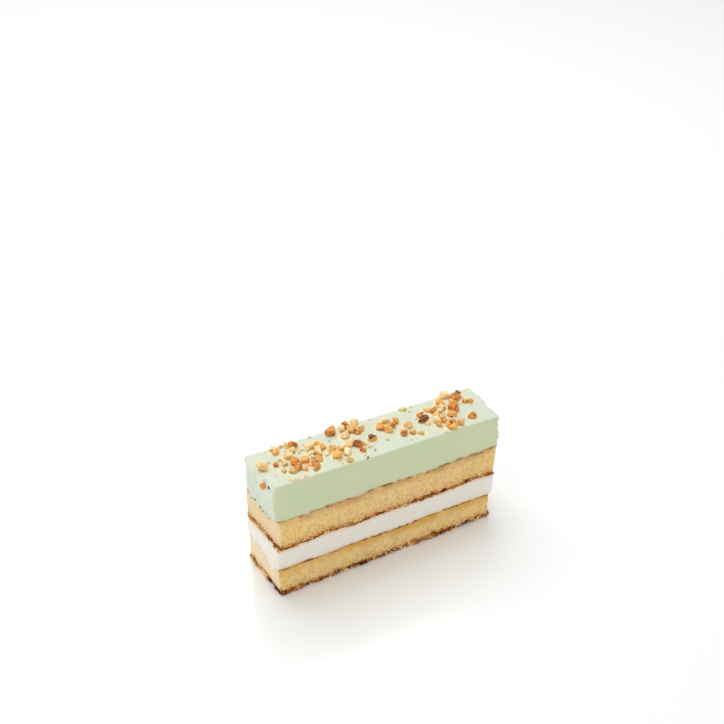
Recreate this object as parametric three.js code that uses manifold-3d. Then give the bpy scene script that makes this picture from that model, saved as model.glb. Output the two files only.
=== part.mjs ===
// A slice cut from a layered pistachio cake. From the plate up it is a sponge, a white cream, a second
// sponge and a thick pistachio mousse, with chopped roasted nuts pressed into the top.
//
// Millimetres, +Z up. X runs along the slice, from its left end to its right end, and Y runs through it,
// from the front cut to the back cut. The shapes are worked out from the slice's front left foot, and the
// finished group is then moved so that its origin lies under the middle of the slice.

import * as THREE from "three";
import { ConvexGeometry } from "three/addons/geometries/ConvexGeometry.js";
import { mergeVertices } from "three/addons/utils/BufferGeometryUtils.js";
import Module from "manifold-3d";

// ---- Driving dimensions ----

const LENGTH = 80; // the width of the whole cake, which is the length of a slice
const TOP_WIDTH = 19.2; // how thick the slice was cut, measured at the top
const FOOT_SPREAD = 1.2; // how far each cut face stands out at the foot
const RIGHT_LEAN = 2.5; // how far the right end draws in towards its foot
const LEFT_LEAN = 0.4;
const RIGHT_SKEW = 2; // how much further the back edge runs than the front edge, at the right end
const LEFT_SKEW = 0.7;

// The height of each joint between two layers, at the left end and at the right end.
const FOOT = [0, 0];
const CREAM_BOTTOM = [9.7, 8.9];
const CREAM_TOP = [16.8, 16];
const MOUSSE_BOTTOM = [27.2, 26.6];
const MOUSSE_TOP = [39.9, 37.9];

// How far the ends stand out at rising heights, since the layers don't end flush with each other: the height,
// then how far at the front cut and at the back cut.
const LEFT_PROFILE = [
  [0, 0.7, 0.1],
  [2.5, 1.3, 0.2],
  [9.2, 1.5, 0.2],
  [10.2, 1.4, 0.2],
  [12.8, 1.1, 0.2],
  [16, 1, 0.2],
  [16.8, 0.1, 0.4],
  [22, 0, 0.5],
  [26.7, 0.1, 0.6],
  [27.6, 1.2, 0.3],
  [30, 1.6, 0.3],
  [33, 1.9, 0.4],
  [35.8, 1.6, 0],
  [38.4, 1.1, 0.3],
  [39.9, 0.9, 0.9],
];
const RIGHT_PROFILE = [
  [0, -0.8, -0.6],
  [8.5, -1.3, -0.8],
  [9.3, -0.3, -0.3],
  [12, -0.2, 0],
  [15.5, 0, 0],
  [16.4, -0.4, -0.2],
  [19.7, -0.1, 0],
  [26.2, 0.1, 0.2],
  [30.3, 0.4, 0.2],
  [34.5, -0.4, -0.2],
  [37.9, -0.3, -0.4],
];

const JOINT_GAP = 0.3; // between two layers
const JOINT_WAVE = 0.45; // how far a joint strays up and down
const JOINT_WAVE_LENGTH = 9;
const TOP_WAVE = 0.25; // the spread surface of the mousse
const TOP_WAVE_LENGTH = 11;

const END_ROUND = 0.9; // the mousse's top edge at both ends
const CUT_ROUND = 0.4; // the mousse's top edge along both cuts

const CRUMB_RELIEF = 0.22; // the sponge's cut faces
const CRUMB_SIZE = 2.6;
const CRUST_RELIEF = 0.65; // the crags of the browned crust under each sponge
const CRUST_SIZE = 1.9;
const CRUST_HEIGHT = 1.8;
const FOOT_CHIP = 0.8; // how far the foot's rim is chipped away upwards
const CORNER_RELIEF = 0.4; // the share of the relief that is kept along the upright corner edges
const MOUSSE_END_RELIEF = 0.35; // the torn ends of the mousse
const MOUSSE_END_LUMP = 2.6;
const MOUSSE_CUT_RELIEF = 0.1;
const CREAM_BULGE = 0.6; // the cream squeezed out at both ends
const CREAM_RELIEF = 0.14;
const SMOOTH_LUMP = 6;

// Chopped nuts.
const NUT_SIZES = [2.1, 4.7]; // the longest side of a small and of a large piece
const NUT_SMALLNESS = 1.15; // above 1, small pieces outnumber large ones
const NUT_FLATNESS = [0.66, 0.98]; // width over length, and height over width
const NUT_CORNERS = 11;
const NUT_SUNK = 0.24; // the share of its height that lies in the mousse
const NUT_CROWDING = 0.32; // how near two pieces may lie, as a share of the sum of their lengths
const NUT_TRIES = 14;
const NUT_EDGE = 0.9; // how near to a cut face the middle of a piece may lie
const NUT_SEED = 20260;

// Where the nuts fell: the middle of each handful, its radius and its number of pieces.
const HANDFULS = [
  { x: 2.5, y: 11.8, radius: 3.2, count: 4 },
  { x: 11.8, y: 16, radius: 4.4, count: 8 },
  { x: 8.4, y: 7, radius: 3.2, count: 6 },
  { x: 14.3, y: 6.2, radius: 4, count: 9 },
  { x: 20.4, y: 11, radius: 4.2, count: 8 },
  { x: 24.8, y: 5.6, radius: 4, count: 8 },
  { x: 33, y: 16.6, radius: 4.6, count: 9 },
  { x: 30.5, y: 6.5, radius: 3.6, count: 5 },
  { x: 45.6, y: 12.4, radius: 3.2, count: 6 },
  { x: 51, y: 5.5, radius: 3.6, count: 4 },
  { x: 59.5, y: 8.5, radius: 4.2, count: 9 },
  { x: 65.2, y: 11.5, radius: 4.8, count: 11 },
  { x: 63.8, y: 3.6, radius: 3.6, count: 5 },
  { x: 73.6, y: 15, radius: 4.4, count: 8 },
];

// Single pieces that stand out.
const LONE_NUTS = [
  { x: 27.6, y: 17.2, size: 4.6 },
  { x: 23.6, y: 5, size: 4.4 },
  { x: 37.4, y: 8.1, size: 3.7 },
  { x: 57.2, y: 9.2, size: 5 },
  { x: 68.8, y: 10.2, size: 5 },
  { x: 71.7, y: 3.6, size: 3.8 },
  { x: 54.6, y: 17.9, size: 3 },
];

// One piece has stuck to the left end, below the top edge. Its middle stands a little out of the mousse.
const STRAY_NUT = { y: 5.4, below_top: 2.6, size: 3.7, stands_out: 0.8 };

// ---- Rules shared by all pieces ----

const mix = THREE.MathUtils.lerp;
const clamp = THREE.MathUtils.clamp;

// A number from -1 to 1 for each whole-number point in space, always the same one.
function latticeValue(i, j, k) {
  let h = Math.imul(i, 374761393) ^ Math.imul(j, 668265263) ^ Math.imul(k, 1440662683);
  h = Math.imul(h ^ (h >>> 13), 1274126177);
  h = Math.imul(h ^ (h >>> 15), 2246822519);
  return (((h ^ (h >>> 16)) >>> 0) / 4294967295) * 2 - 1;
}

// Smooth noise from -1 to 1, with one lump to each unit of length.
function noise(x, y, z) {
  const [i, j, k] = [Math.floor(x), Math.floor(y), Math.floor(z)];
  const ease = (t) => t * t * (3 - 2 * t);
  const [u, v, w] = [ease(x - i), ease(y - j), ease(z - k)];
  let sum = 0;
  for (let a = 0; a < 2; a++)
    for (let b = 0; b < 2; b++)
      for (let c = 0; c < 2; c++) {
        const weight = (a ? u : 1 - u) * (b ? v : 1 - v) * (c ? w : 1 - w);
        sum += weight * latticeValue(i + a, j + b, k + c);
      }
  return sum;
}

// Seeded random numbers from 0 to 1.
function randomNumbers(seed) {
  let state = seed;
  return () => {
    state = (state + 0x6d2b79f5) | 0;
    let t = Math.imul(state ^ (state >>> 15), state | 1);
    t ^= t + Math.imul(t ^ (t >>> 7), t | 61);
    return ((t ^ (t >>> 14)) >>> 0) / 4294967296;
  };
}

// How high a joint lies at a share of the length and a share of the width.
function jointHeight(joint, along, across) {
  const level = mix(joint[0], joint[1], along);
  if (joint === FOOT) return level;
  const wave = joint === MOUSSE_TOP ? TOP_WAVE : JOINT_WAVE;
  const waveLength = joint === MOUSSE_TOP ? TOP_WAVE_LENGTH : JOINT_WAVE_LENGTH;
  const x = (along * LENGTH) / waveLength;
  const y = (across * TOP_WIDTH) / waveLength;
  return level + wave * noise(x, y, joint[0]);
}

// How far an end stands out at a height and at a share of the width.
function standOut(profile, height, across) {
  const above = profile.findIndex((row) => row[0] > height);
  const n = above === -1 ? profile.length - 1 : Math.max(above, 1);
  const [low, high] = [profile[n - 1], profile[n]];
  const share = clamp((height - low[0]) / (high[0] - low[0]), 0, 1);
  return mix(mix(low[1], high[1], share), mix(low[2], high[2], share), across);
}

// A point of the cut slice before any relief, at shares of its length and width and at a height.
function slicePoint(along, across, height) {
  const drop = 1 - height / mix(MOUSSE_TOP[0], MOUSSE_TOP[1], along);
  const left = LEFT_LEAN * drop - LEFT_SKEW * across - standOut(LEFT_PROFILE, height, across);
  const right = LENGTH - RIGHT_LEAN * drop + RIGHT_SKEW * across + standOut(RIGHT_PROFILE, height, across);
  const front = -FOOT_SPREAD * drop;
  const back = TOP_WIDTH + FOOT_SPREAD * drop;
  return new THREE.Vector3(mix(left, right, along), mix(front, back, across), height);
}

// The flat direction that faces out of the slice at a point of its sides, and shorter along its upright
// corner edges. Zero inside its outline.
function outwards(along, across) {
  const x = along === 0 ? -1 : along === 1 ? 1 : 0;
  const y = across === 0 ? -1 : across === 1 ? 1 : 0;
  const atCorner = x !== 0 && y !== 0;
  return new THREE.Vector3(x, y, 0).normalize().multiplyScalar(atCorner ? CORNER_RELIEF : 1);
}

// Moves shares of an edge towards both of its ends, so that the cells there are smaller.
function crowdToEnds(share, crowding) {
  return share - (crowding * Math.sin(2 * Math.PI * share)) / (2 * Math.PI);
}

// ---- The layers ----

// A layer between two joints: a box of small cells, each corner set in its place and pushed out by the relief.
// relief(point, along, rise) gives a push in mm, where rise is the height above the layer's underside.
function layerGeometry({ bottom, top, cells, crowding, relief, finish }) {
  const geometry = new THREE.BoxGeometry(1, 1, 1, ...cells);
  geometry.deleteAttribute("normal");
  geometry.deleteAttribute("uv");
  const corners = geometry.getAttribute("position");
  for (let n = 0; n < corners.count; n++) {
    const [a, b, c] = [corners.getX(n), corners.getY(n), corners.getZ(n)].map((t) => clamp(t + 0.5, 0, 1));
    const along = a === 0 || a === 1 ? a : crowdToEnds(a, crowding);
    const across = b;
    const low = jointHeight(bottom, along, across) + (bottom === FOOT ? 0 : JOINT_GAP / 2);
    const high = jointHeight(top, along, across) - (top === MOUSSE_TOP ? 0 : JOINT_GAP / 2);
    const point = slicePoint(along, across, mix(low, high, c));
    const out = outwards(along, across);
    if (out.length() > 0) point.addScaledVector(out, relief(point, along, point.z - low));
    if (finish) finish(point, { along, across, high, out });
    corners.setXYZ(n, point.x, point.y, point.z);
  }
  return mergeVertices(geometry, 1e-4);
}

// The open crumb of a cut sponge, with the browned crust under it standing out in crags.
function spongeRelief(point, along, rise) {
  const crumb = CRUMB_RELIEF * noise(point.x / CRUMB_SIZE, point.y / CRUMB_SIZE, point.z / CRUMB_SIZE);
  const crag = noise(point.x / CRUST_SIZE, point.y / CRUST_SIZE, point.z / CRUST_SIZE + 40);
  const crust = clamp(1 - rise / CRUST_HEIGHT, 0, 1);
  return crumb + CRUST_RELIEF * crust * crag;
}

// Chips the rim of the foot away upwards. The rest of the underside stays flat.
function chipFoot(point, { out }) {
  if (point.z > 0 || out.length() === 0) return;
  point.z = FOOT_CHIP * clamp(noise(point.x / CRUST_SIZE, point.y / CRUST_SIZE, 70), 0, 1);
}

// Cream is smooth along the cuts and squeezed out at the ends.
function creamRelief(point, along, rise) {
  const smooth = CREAM_RELIEF * noise(point.x / SMOOTH_LUMP, point.y / SMOOTH_LUMP, point.z / SMOOTH_LUMP + 20);
  const atEnd = along === 0 || along === 1;
  const belly = Math.sin(Math.PI * clamp(rise / (CREAM_TOP[0] - CREAM_BOTTOM[0]), 0, 1));
  return smooth + (atEnd ? CREAM_BULGE * belly : 0);
}

// Mousse is smooth along the cuts and torn at the ends.
function mousseRelief(point, along) {
  const smooth = noise(point.x / SMOOTH_LUMP, point.y / SMOOTH_LUMP, point.z / SMOOTH_LUMP + 60);
  if (along !== 0 && along !== 1) return MOUSSE_CUT_RELIEF * smooth;
  return MOUSSE_END_RELIEF * noise(point.x, point.y / MOUSSE_END_LUMP, point.z / MOUSSE_END_LUMP + 80);
}

// Rounds the mousse's top edge, more at the ends than along the cuts.
function roundTopEdge(point, { along, across, high }) {
  const roundOff = (inset, radius, axis, direction) => {
    const depth = high - point.z;
    if (inset >= radius || depth >= radius) return;
    const [a, b] = [radius - inset, radius - depth];
    const excess = Math.hypot(a, b) - Math.max(a, b);
    point[axis] += (direction * excess * a) / Math.hypot(a, b);
    point.z -= (excess * b) / Math.hypot(a, b);
  };
  const fromEnd = Math.min(along, 1 - along) * LENGTH;
  const fromCut = Math.min(across, 1 - across) * TOP_WIDTH;
  roundOff(fromEnd, END_ROUND, "x", along < 0.5 ? 1 : -1);
  roundOff(fromCut, CUT_ROUND, "y", across < 0.5 ? 1 : -1);
}

// ---- The chopped nuts ----

// Each nut is {x, y, z, size}, in the order in which they fell: the single pieces, then each handful.
function scatterNuts(random) {
  const nuts = [];
  const add = (x, y, size) => {
    const [along, across] = [x / LENGTH, y / TOP_WIDTH];
    nuts.push({ x, y, z: jointHeight(MOUSSE_TOP, along, across), size });
  };
  for (const { x, y, size } of LONE_NUTS) add(x, y, size);
  for (const { x: cx, y: cy, radius, count } of HANDFULS)
    for (let n = 0; n < count; n++) {
      const size = mix(NUT_SIZES[0], NUT_SIZES[1], random() ** NUT_SMALLNESS);
      for (let tries = 0; tries < NUT_TRIES; tries++) {
        const turn = 2 * Math.PI * random();
        const reach = radius * Math.sqrt(random());
        const x = clamp(cx + reach * Math.cos(turn), NUT_EDGE, LENGTH - NUT_EDGE);
        const y = clamp(cy + reach * Math.sin(turn), NUT_EDGE, TOP_WIDTH - NUT_EDGE);
        const clear = nuts.every((o) => Math.hypot(o.x - x, o.y - y) > NUT_CROWDING * (o.size + size));
        if (!clear) continue;
        add(x, y, size);
        break;
      }
    }
  return nuts;
}

// An angular chopped piece: the hull of points strewn over a flattened ball, turned at random.
function nutGeometry({ x, y, z, size }, random) {
  const width = size * mix(NUT_FLATNESS[0], NUT_FLATNESS[1], random());
  const height = width * mix(NUT_FLATNESS[0], NUT_FLATNESS[1], random());
  const turn = 2 * Math.PI * random();
  const points = [];
  for (let n = 0; n < NUT_CORNERS; n++) {
    const up = (2 * (n + random())) / NUT_CORNERS - 1;
    const round = 2 * Math.PI * random();
    const flat = Math.sqrt(1 - up * up);
    const a = (size / 2) * flat * Math.cos(round);
    const b = (width / 2) * flat * Math.sin(round);
    points.push(
      new THREE.Vector3(
        x + a * Math.cos(turn) - b * Math.sin(turn),
        y + a * Math.sin(turn) + b * Math.cos(turn),
        z + (height / 2) * (up + 1 - 2 * NUT_SUNK),
      ),
    );
  }
  return new ConvexGeometry(points);
}

// ---- Joining ----

const wasm = await Module();
wasm.setup();

function toSolid(geometry) {
  const bare = geometry.clone();
  for (const name of Object.keys(bare.attributes)) if (name !== "position") bare.deleteAttribute(name);
  const welded = mergeVertices(bare, 1e-4);
  return new wasm.Manifold(
    new wasm.Mesh({
      numProp: 3,
      vertProperties: new Float32Array(welded.getAttribute("position").array),
      triVerts: new Uint32Array(welded.index.array),
    }),
  );
}

function toGeometry(solid) {
  const { vertProperties, triVerts } = solid.getMesh();
  return new THREE.BufferGeometry()
    .setAttribute("position", new THREE.BufferAttribute(vertProperties, 3))
    .setIndex(new THREE.BufferAttribute(triVerts, 1));
}

// The mousse with every nut fused into it.
function nuttyMousse() {
  const random = randomNumbers(NUT_SEED);
  const nuts = scatterNuts(random);
  const { y, below_top: depth, size, stands_out: clear } = STRAY_NUT;
  const { x, z } = slicePoint(0, y / TOP_WIDTH, MOUSSE_TOP[0] - depth);
  nuts.push({ x: x - clear, y, z, size });
  const mousse = layerGeometry({
    bottom: MOUSSE_BOTTOM,
    top: MOUSSE_TOP,
    cells: [44, 10, 6],
    crowding: 0.55,
    relief: mousseRelief,
    finish: roundTopEdge,
  });
  return toGeometry(nuts.reduce((whole, nut) => whole.add(toSolid(nutGeometry(nut, random))), toSolid(mousse)));
}

// ---- The slice ----

const MATERIALS = {
  sponge: new THREE.MeshStandardMaterial({ color: "#e3bf7c", roughness: 0.95, metalness: 0 }),
  cream: new THREE.MeshStandardMaterial({ color: "#f1ebe2", roughness: 0.6, metalness: 0 }),
  mousse: new THREE.MeshStandardMaterial({ color: "#d0dab4", roughness: 0.55, metalness: 0 }),
};

function named(name, geometry, material) {
  geometry.computeVertexNormals();
  const mesh = new THREE.Mesh(geometry, material);
  mesh.name = name;
  return mesh;
}

const slice = new THREE.Group();
slice.add(
  named(
    "base_sponge",
    layerGeometry({
      bottom: FOOT,
      top: CREAM_BOTTOM,
      cells: [46, 8, 5],
      crowding: 0.3,
      relief: spongeRelief,
      finish: chipFoot,
    }),
    MATERIALS.sponge,
  ),
  named(
    "white_cream",
    layerGeometry({
      bottom: CREAM_BOTTOM,
      top: CREAM_TOP,
      cells: [28, 7, 4],
      crowding: 0.3,
      relief: creamRelief,
    }),
    MATERIALS.cream,
  ),
  named(
    "upper_sponge",
    layerGeometry({
      bottom: CREAM_TOP,
      top: MOUSSE_BOTTOM,
      cells: [42, 7, 5],
      crowding: 0.3,
      relief: spongeRelief,
    }),
    MATERIALS.sponge,
  ),
  named("pistachio_mousse", nuttyMousse(), MATERIALS.mousse),
);

// The origin lies on the plate, under the middle of the slice.
const bounds = new THREE.Box3().setFromObject(slice);
slice.position.set(-(bounds.min.x + bounds.max.x) / 2, -(bounds.min.y + bounds.max.y) / 2, -bounds.min.z);

export default slice;
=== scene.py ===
"""A slice of layered pistachio cake: sponge, white cream, sponge and pistachio mousse under chopped nuts.

Every layer is a closed shell of small cells that follows the solid of the same name, with the crumb, crags
and smears of the real surface in its mesh. Lengths are millimetres, measured from the slice's front left
foot, and are turned into metres of the frame when a mesh is made.
"""
import math
from itertools import product
from types import SimpleNamespace

import bmesh
import bpy
import numpy as np
from mathutils import Euler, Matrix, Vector


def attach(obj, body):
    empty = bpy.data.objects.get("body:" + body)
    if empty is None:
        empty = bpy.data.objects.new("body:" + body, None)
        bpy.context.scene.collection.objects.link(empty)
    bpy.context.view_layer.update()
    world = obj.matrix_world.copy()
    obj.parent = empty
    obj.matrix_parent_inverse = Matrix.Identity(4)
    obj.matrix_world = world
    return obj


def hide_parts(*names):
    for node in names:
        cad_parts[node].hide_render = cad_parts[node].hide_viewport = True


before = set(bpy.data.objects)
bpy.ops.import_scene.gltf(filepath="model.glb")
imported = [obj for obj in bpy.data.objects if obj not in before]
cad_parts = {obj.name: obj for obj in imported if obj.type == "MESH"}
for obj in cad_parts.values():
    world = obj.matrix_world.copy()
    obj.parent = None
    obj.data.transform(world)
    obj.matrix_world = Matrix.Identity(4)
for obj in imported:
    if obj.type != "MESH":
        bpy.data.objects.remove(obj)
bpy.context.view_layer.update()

# ---- The slice, with the sizes that its solids have ----

MM = 0.001
FOOT_CORNER = np.array([-39.304, -9.720, 0.0])  # the front left foot's place in the frame

LENGTH = 80.0
TOP_WIDTH = 19.2
FOOT_SPREAD = 1.2
RIGHT_LEAN = 2.5
LEFT_LEAN = 0.4
RIGHT_SKEW = 2.0
LEFT_SKEW = 0.7

# The height of each joint between two layers, at the left end and at the right end.
FOOT = (0.0, 0.0)
CREAM_BOTTOM = (9.7, 8.9)
CREAM_TOP = (16.8, 16.0)
MOUSSE_BOTTOM = (27.2, 26.6)
MOUSSE_TOP = (39.9, 37.9)

# How far the ends stand out at rising heights, since the layers don't end flush with each other: the height,
# then how far at the front cut and at the back cut.
LEFT_PROFILE = (
    (0.0, 0.7, 0.1),
    (2.5, 1.3, 0.2),
    (9.2, 1.5, 0.2),
    (10.2, 1.4, 0.2),
    (12.8, 1.1, 0.2),
    (16.0, 1.0, 0.2),
    (16.8, 0.1, 0.4),
    (22.0, 0.0, 0.5),
    (26.7, 0.1, 0.6),
    (27.6, 1.2, 0.3),
    (30.0, 1.6, 0.3),
    (33.0, 1.9, 0.4),
    (35.8, 1.6, 0.0),
    (38.4, 1.1, 0.3),
    (39.9, 0.9, 0.9),
)
RIGHT_PROFILE = (
    (0.0, -0.8, -0.6),
    (8.5, -1.3, -0.8),
    (9.3, -0.3, -0.3),
    (12.0, -0.2, 0.0),
    (15.5, 0.0, 0.0),
    (16.4, -0.4, -0.2),
    (19.7, -0.1, 0.0),
    (26.2, 0.1, 0.2),
    (30.3, 0.4, 0.2),
    (34.5, -0.4, -0.2),
    (37.9, -0.3, -0.4),
)

JOINT_WAVE = 0.45
JOINT_WAVE_LENGTH = 9.0
TOP_WAVE = 0.25
TOP_WAVE_LENGTH = 11.0

END_ROUND = 0.9
CUT_ROUND = 0.4
CRUMB_RELIEF = 0.22
CRUMB_SIZE = 2.6
CRUST_RELIEF = 0.65
CRUST_SIZE = 1.9
CRUST_HEIGHT = 1.8
FOOT_CHIP = 0.8
CORNER_RELIEF = 0.4
MOUSSE_END_RELIEF = 0.35
MOUSSE_END_LUMP = 2.6
CREAM_BULGE = 0.6

NUT_SIZES = (2.1, 4.7)
NUT_SMALLNESS = 1.15
NUT_FLATNESS = (0.66, 0.98)
NUT_CORNERS = 11
NUT_SUNK = 0.24
NUT_CROWDING = 0.32
NUT_TRIES = 14
NUT_EDGE = 0.9
NUT_SEED = 20260

# The middle of each handful of nuts, its radius and its number of pieces.
HANDFULS = (
    (2.5, 11.8, 3.2, 4),
    (11.8, 16.0, 4.4, 8),
    (8.4, 7.0, 3.2, 6),
    (14.3, 6.2, 4.0, 9),
    (20.4, 11.0, 4.2, 8),
    (24.8, 5.6, 4.0, 8),
    (33.0, 16.6, 4.6, 9),
    (30.5, 6.5, 3.6, 5),
    (45.6, 12.4, 3.2, 6),
    (51.0, 5.5, 3.6, 4),
    (59.5, 8.5, 4.2, 9),
    (65.2, 11.5, 4.8, 11),
    (63.8, 3.6, 3.6, 5),
    (73.6, 15.0, 4.4, 8),
)

# Single nuts that stand out: place, size and kind.
LONE_NUTS = (
    (27.6, 17.2, 4.6, "toasted"),
    (23.6, 5.0, 4.4, "toasted"),
    (37.4, 8.1, 3.7, "skinned"),
    (57.2, 9.2, 5.0, "skinned"),
    (68.8, 10.2, 5.0, "toasted"),
    (71.7, 3.6, 3.8, "toasted"),
    (54.6, 17.9, 3.0, "pale"),
)

# The nut on the left end: how far from the front, how far below the top, its size, and how far it stands out.
STRAY_NUT = (5.4, 2.6, 3.7, 0.8)

# ---- Chance and roughness ----

WORD = 0xFFFFFFFF


def mix(a, b, share):
    """a at a share of 0, b at a share of 1."""
    return a + (b - a) * share


def clamp(value, low=0.0, high=1.0):
    return np.minimum(np.maximum(value, low), high)


def ease(share):
    """A soft step from 0 to 1."""
    share = clamp(share)
    return share * share * (3 - 2 * share)


def lattice_value(i, j, k):
    """A number from -1 to 1 for each whole-number point in space, always the same one."""
    i, j, k = (np.atleast_1d(n).astype(np.int64).astype(np.uint32) for n in (i, j, k))
    h = i * np.uint32(374761393) ^ j * np.uint32(668265263) ^ k * np.uint32(1440662683)
    h = (h ^ (h >> np.uint32(13))) * np.uint32(1274126177)
    h = (h ^ (h >> np.uint32(15))) * np.uint32(2246822519)
    return (h ^ (h >> np.uint32(16))) / WORD * 2 - 1


def noise(x, y, z):
    """Smooth noise from -1 to 1, with one lump to each unit of length."""
    x, y, z = np.broadcast_arrays(np.atleast_1d(x).astype(float), y, z)
    i, j, k = np.floor(x), np.floor(y), np.floor(z)
    u, v, w = ease(x - i), ease(y - j), ease(z - k)
    total = np.zeros(x.shape)
    for a, b, c in product((0, 1), repeat=3):
        weight = (u if a else 1 - u) * (v if b else 1 - v) * (w if c else 1 - w)
        total += weight * lattice_value(i + a, j + b, k + c)
    return total


def roughness(points, size, shift=0.0):
    """Noise at points, with lumps of a size in millimetres."""
    x, y, z = points.T / size
    return noise(x, y, z + shift)


def nearest_speck(points, spacing, shift):
    """The distance to the nearest of the specks strewn one to a cube, and that speck's luck from 0 to 1."""
    cell = np.floor(points / spacing)
    nearest = np.full(len(points), np.inf)
    luck = np.zeros(len(points))
    for step in product((-1, 0, 1), repeat=3):
        i, j, k = (cell + step).T
        *strewn, own_luck = [0.5 + 0.5 * lattice_value(i, j, k + shift + n) for n in (0, 1000, 2000, 3000)]
        speck = (cell + step + np.stack(strewn, 1)) * spacing
        distance = np.linalg.norm(points - speck, axis=1)
        closer = distance < nearest
        nearest = np.where(closer, distance, nearest)
        luck = np.where(closer, own_luck, luck)
    return nearest, luck


def random_numbers(seed):
    """Seeded random numbers from 0 to 1, the same ones that placed the nuts of the solids."""
    state = seed

    def draw():
        nonlocal state
        state = (state + 0x6D2B79F5) & WORD
        t = ((state ^ (state >> 15)) * (state | 1)) & WORD
        t ^= (t + (((t ^ (t >> 7)) * (t | 61)) & WORD)) & WORD
        return ((t ^ (t >> 14)) & WORD) / (WORD + 1)

    return draw


# ---- The form of the slice ----

END_REACH = 0.6  # how far in from an end its smears still count
EDGE_ALLOWANCE = 0.3  # the part of a shell's margin that the round of its edge takes
CAP_GAP = 0.7  # the gap between a shell's last ring and the grid inside it, in cells


def joint_height(joint, along, across):
    """How high a joint lies at shares of the length and of the width."""
    level = mix(joint[0], joint[1], along)
    if joint is FOOT:
        return level
    wave = TOP_WAVE if joint is MOUSSE_TOP else JOINT_WAVE
    length = TOP_WAVE_LENGTH if joint is MOUSSE_TOP else JOINT_WAVE_LENGTH
    return level + wave * noise(along * LENGTH / length, across * TOP_WIDTH / length, joint[0])


def lifted(joint, lift):
    """The height of a joint with a lift, in the form that layer_shell takes."""
    return lambda along, across, inset: joint_height(joint, along, across) + lift


def top_height(x, y):
    """How high the top of the mousse lies at one place."""
    return joint_height(MOUSSE_TOP, np.array([x / LENGTH]), np.array([y / TOP_WIDTH]))[0]


def stand_out(profile, height, across):
    """How far an end stands out at heights and at shares of the width."""
    heights, front, back = np.array(profile).T
    return mix(np.interp(height, heights, front), np.interp(height, heights, back), across)


def slice_point(along, across, height):
    """Points of the cut slice before any relief, at shares of its length and width and at heights."""
    drop = 1 - height / mix(MOUSSE_TOP[0], MOUSSE_TOP[1], along)
    left = LEFT_LEAN * drop - LEFT_SKEW * across - stand_out(LEFT_PROFILE, height, across)
    right = LENGTH - RIGHT_LEAN * drop + RIGHT_SKEW * across + stand_out(RIGHT_PROFILE, height, across)
    front = -FOOT_SPREAD * drop
    back = TOP_WIDTH + FOOT_SPREAD * drop
    return np.stack([mix(left, right, along), mix(front, back, across), height], -1)


def at_end(along):
    """1 at both ends of the slice and 0 a little further in."""
    return ease(1 - np.minimum(along, 1 - along) * LENGTH / END_REACH)


def ragged(x, y, size, shift):
    """How far a torn edge strays at places on the slice, from about -1 to 1."""
    return noise(x / size, y / size, shift) + 0.5 * noise(x / (0.4 * size), y / (0.4 * size), shift + 1)


def outline(cell, corner):
    """Columns a cell apart round the slice, anticlockwise from its front left corner, with rounded corners.

    Returns their places on the flat rectangle, the directions that they face, and their places on the loop,
    which count the sides from 0 to 4.
    """
    columns = []
    for side in range(4):
        facing = math.radians(90 * side - 90)
        out = np.array([math.cos(facing), math.sin(facing)])
        onward = np.array([-out[1], out[0]])
        middle = np.array([LENGTH, TOP_WIDTH]) / 2
        half_run = abs(onward @ middle) - corner
        straight = middle + out * abs(out @ middle)
        steps = round(2 * half_run / cell)
        for n in range(steps):
            columns.append((*(straight + onward * half_run * (2 * n / steps - 1)), facing))
        centre = straight + onward * half_run - out * corner
        steps = max(2, round(corner * math.pi / 2 / cell))
        for n in range(steps):
            turn = facing + math.pi / 2 * n / steps
            columns.append((*(centre + corner * np.array([math.cos(turn), math.sin(turn)])), turn))
    x, y, turn = np.array(columns).T
    side = np.floor((np.degrees(turn) + 135) / 90)
    shares = [x / LENGTH, y / TOP_WIDTH, 1 - x / LENGTH, 1 - y / TOP_WIDTH]
    share = np.select([side == n for n in range(4)], shares, 0)
    return x, y, turn, side + share


def zip_loops(outer, inner, outer_at, inner_at):
    """Triangles between two closed anticlockwise loops of points, each with its places on the loop."""
    faces = []
    i = j = 0
    while i < len(outer) or j < len(inner):
        next_outer = outer_at[i + 1] if i + 1 < len(outer) else 4.0 + (i >= len(outer))
        next_inner = inner_at[j + 1] if j + 1 < len(inner) else 4.0 + (j >= len(inner))
        if next_outer <= next_inner:
            faces.append((outer[i], outer[(i + 1) % len(outer)], inner[j % len(inner)]))
            i += 1
        else:
            faces.append((outer[i % len(outer)], inner[(j + 1) % len(inner)], inner[j]))
            j += 1
    return faces


def flat_grid(margin, cell):
    """A grid over the flat rectangle inside a margin: its places, its quads and its rim as a loop."""
    across_cells = max(2, round((TOP_WIDTH - 2 * margin) / cell))
    along_cells = max(2, round((LENGTH - 2 * margin) / cell))
    y, x = np.meshgrid(
        np.linspace(margin, TOP_WIDTH - margin, across_cells + 1),
        np.linspace(margin, LENGTH - margin, along_cells + 1),
        indexing="ij",
    )
    number = np.arange(x.size).reshape(x.shape)
    quads = np.stack([number[:-1, :-1], number[:-1, 1:], number[1:, 1:], number[1:, :-1]], -1).reshape(-1, 4)
    rim = np.concatenate([number[0, :-1], number[:-1, -1], number[-1, :0:-1], number[:0:-1, 0]])
    along_at = np.arange(along_cells) / along_cells
    across_at = np.arange(across_cells) / across_cells
    rim_at = np.concatenate([along_at, 1 + across_at, 2 + along_at, 3 + across_at])
    return x.ravel(), y.ravel(), quads, rim, rim_at


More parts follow.
